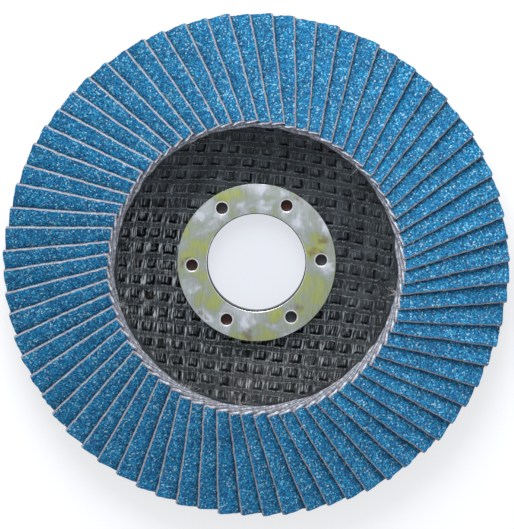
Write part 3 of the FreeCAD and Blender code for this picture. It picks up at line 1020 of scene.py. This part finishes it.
# %% Material: zinc plate
thick_film = (
    (-12.1, 8.8, 3.5), (-13.2, 3.7, 4.5), (-12.3, -3.9, 3.0), (-12.9, -8.4, 4.0), (-7.8, 15.0, 2.5),
    (2.2, 15.0, 2.6), (14.0, 5.1, 4.0), (12.3, -6.5, 5.5), (10.8, -11.5, 3.0), (4.6, -12.1, 2.5),
    (-3.5, -16.8, 3.5))
thin_film = (
    (1.5, 16.8, 2.8), (7.5, 15.3, 2.4), (-3.4, 12.1, 3.2), (1.6, 12.4, 3.2), (5.9, 11.6, 3.0),
    (10.0, 9.6, 2.8), (15.0, 8.0, 2.6),
    (-12.6, 11.0, 2.4), (-8.8, 10.2, 2.6), (-10.6, -12.2, 3.4), (-2.5, -14.9, 3.0), (5.0, -15.2, 3.0),
    (15.8, -1.8, 2.2), (-14.0, -6.2, 1.8))
brown_stains = (
    (14.8, 6.0, 1.8), (8.9, -10.4, 2.4), (-2.0, -16.6, 2.4), (-11.5, -12.3, 1.4), (-17.0, -0.5, 1.6),
    (9.2, 14.2, 1.4), (-15.2, 1.4, 1.6), (13.9, 2.3, 1.8))

film_size, drift_size, drift_reach = 6.0 * MM, 2.6 * MM, 7.0 * MM
brush_width, brush_length, scratch_depth = 0.25 * MM, 3.5 * MM, 0.03 * MM
tree = zinc_material.node_tree
place = add(tree, "TexCoord").outputs["Object"]
drift = add(tree, "TexNoise", {"Vector": place, "Scale": 1 / drift_size, "Detail": 4.0})
wandered = add(tree, "VectorMath", {0: drift.outputs["Color"], 1: (drift_reach,) * 3,
                                    2: place}, operation="MULTIPLY_ADD")


def spots(places):
    """Soft spots, each from its place and its size in mm, with the noise's mean shift taken off."""
    total = None
    shift = drift_reach / 2
    for x, y, size in places:
        middle = (x * MM + shift, y * MM + shift, ring_front_z + shift)
        away = add(tree, "VectorMath", {0: wandered, 1: middle}, operation="DISTANCE")
        spot = add(tree, "MapRange", {"Value": away.outputs["Value"], "From Max": size * MM,
                                      "To Min": 1.0, "To Max": 0.0}, interpolation_type="SMOOTHSTEP")
        if total:
            spot = add(tree, "Math", {0: total, 1: spot}, operation="MAXIMUM")
        total = spot
    return total


film = add(tree, "TexNoise", {"Vector": place, "Scale": 1 / film_size, "Detail": 3.0,
                              "Roughness": 0.5, "Distortion": 0.5})
even_film = add(tree, "Math", {0: film, 1: 0.70, 2: 0.165}, operation="MULTIPLY_ADD")
thicker = add(tree, "Math", {0: spots(thick_film), 1: 0.15, 2: even_film}, operation="MULTIPLY_ADD")
uneven_film = add(tree, "Math", {0: spots(thin_film), 1: -0.15, 2: thicker},
                  operation="MULTIPLY_ADD")
film_colour = set_stops(
    add(tree, "ValToRGB", {"Fac": uneven_film}),
    (0.34, "#eceff5"), (0.43, "#c8cdcc"), (0.51, "#b0b7b0"), (0.58, "#aab294"), (0.66, "#b2b975"))
stain_share = add(tree, "Math", {0: spots(brown_stains), 1: 0.75}, operation="MULTIPLY")
film_stained = add(tree, "MixRGB", {"Fac": stain_share, "Color1": film_colour,
                                    "Color2": colour("#7f6a4c")})
brushing = add(tree, "Mapping", {"Vector": place,
                                 "Scale": (1 / brush_width, 1 / brush_length, 1 / brush_length)})
lines = add(tree, "TexNoise", {"Vector": brushing, "Scale": 1.0, "Detail": 2.0})
line_level = add(tree, "MapRange", {"Value": lines, "From Min": 0.3, "From Max": 0.7,
                                    "To Min": 0.90, "To Max": 1.06})
zinc_colour = add(tree, "VectorMath", {0: film_stained, 1: line_level},
                  operation="MULTIPLY")
zinc_rough = add(tree, "MapRange", {"Value": uneven_film, "From Min": 0.35, "From Max": 0.65,
                                    "To Min": 0.34, "To Max": 0.50})
bump = add(tree, "Bump", {"Height": lines, "Strength": 0.25, "Distance": scratch_depth})
finish_material(tree, Base_Color=zinc_colour, Metallic=1.0,
                Roughness=zinc_rough, Normal=bump)
print(zinc_material.name)

# %% [markdown]
# Burnished lips, and painted light and shade at the mouth
#
# The punch rubs the film off round each hole and leaves bare bright steel, so each hole
# has a thin white lip. The top of the mouth's round gets the same bright steel on its lower
# side, as a painted highlight. Below it the mouth is given dark steel as painted shade,
# which draws a thin dark line round the opening.

# %% Materials: bare steel at the lips, painted light and shade at the mouth
rub_size = 1.2 * MM
# The lip steel is also the painted highlight on the mouth's lower side, and the mouth steel is painted
# shade.
for material, tones, roughness in (
        (lip_material, ("#d9dadc", "#f7f7f5"), 0.30),
        (mouth_material, ("#141618", "#303335"), 0.40)):
    tree = material.node_tree
    place = add(tree, "TexCoord").outputs["Object"]
    rub = add(tree, "TexNoise", {"Vector": place, "Scale": 1 / rub_size, "Detail": 3.0})
    rub_colour = set_stops(add(tree, "ValToRGB", {"Fac": rub}), (0.4, tones[0]), (0.6, tones[1]))
    bump = add(tree, "Bump", {"Height": rub, "Strength": 0.2, "Distance": scratch_depth})
    finish_material(tree, Base_Color=rub_colour, Metallic=1.0, Roughness=roughness, Normal=bump)
    print(material.name)

# %% [markdown]
# The resin bed
#
# Epoxy holds the flaps' lower edges on the plate. It is brown, a little glossy, and hardly
# seen between the flaps and the brow of the bowl. The solid already has its shape, with a
# wedge of resin under each flap, so it only gets a material: cured resin with small bubbles
# and a slow change of tone.

# %% Material: cured epoxy bed
bed_tone_size, bubble_size, bubble_height = 4 * MM, 0.7 * MM, 0.1 * MM

bed_material, tree = start_material("cured_brown_epoxy")
place = add(tree, "TexCoord").outputs["Object"]
tone = add(tree, "TexNoise", {"Vector": place, "Scale": 1 / bed_tone_size, "Detail": 4.0})
bed_colour = set_stops(add(tree, "ValToRGB", {"Fac": tone}),
                       (0.35, "#2b1a10"), (0.55, "#4a2f1c"), (0.7, "#6a472b"))
bubbles = add(tree, "TexVoronoi", {"Vector": place, "Scale": 1 / bubble_size})
bump = add(tree, "Bump", {"Height": bubbles.outputs["Distance"], "Strength": 0.4, "Distance": bubble_height})
finish_material(tree, Base_Color=bed_colour, Roughness=0.35, Normal=bump)
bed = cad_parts["adhesive_bed"]
bed.data.materials.clear()
bed.data.materials.append(bed_material)
print(bed_material.name)
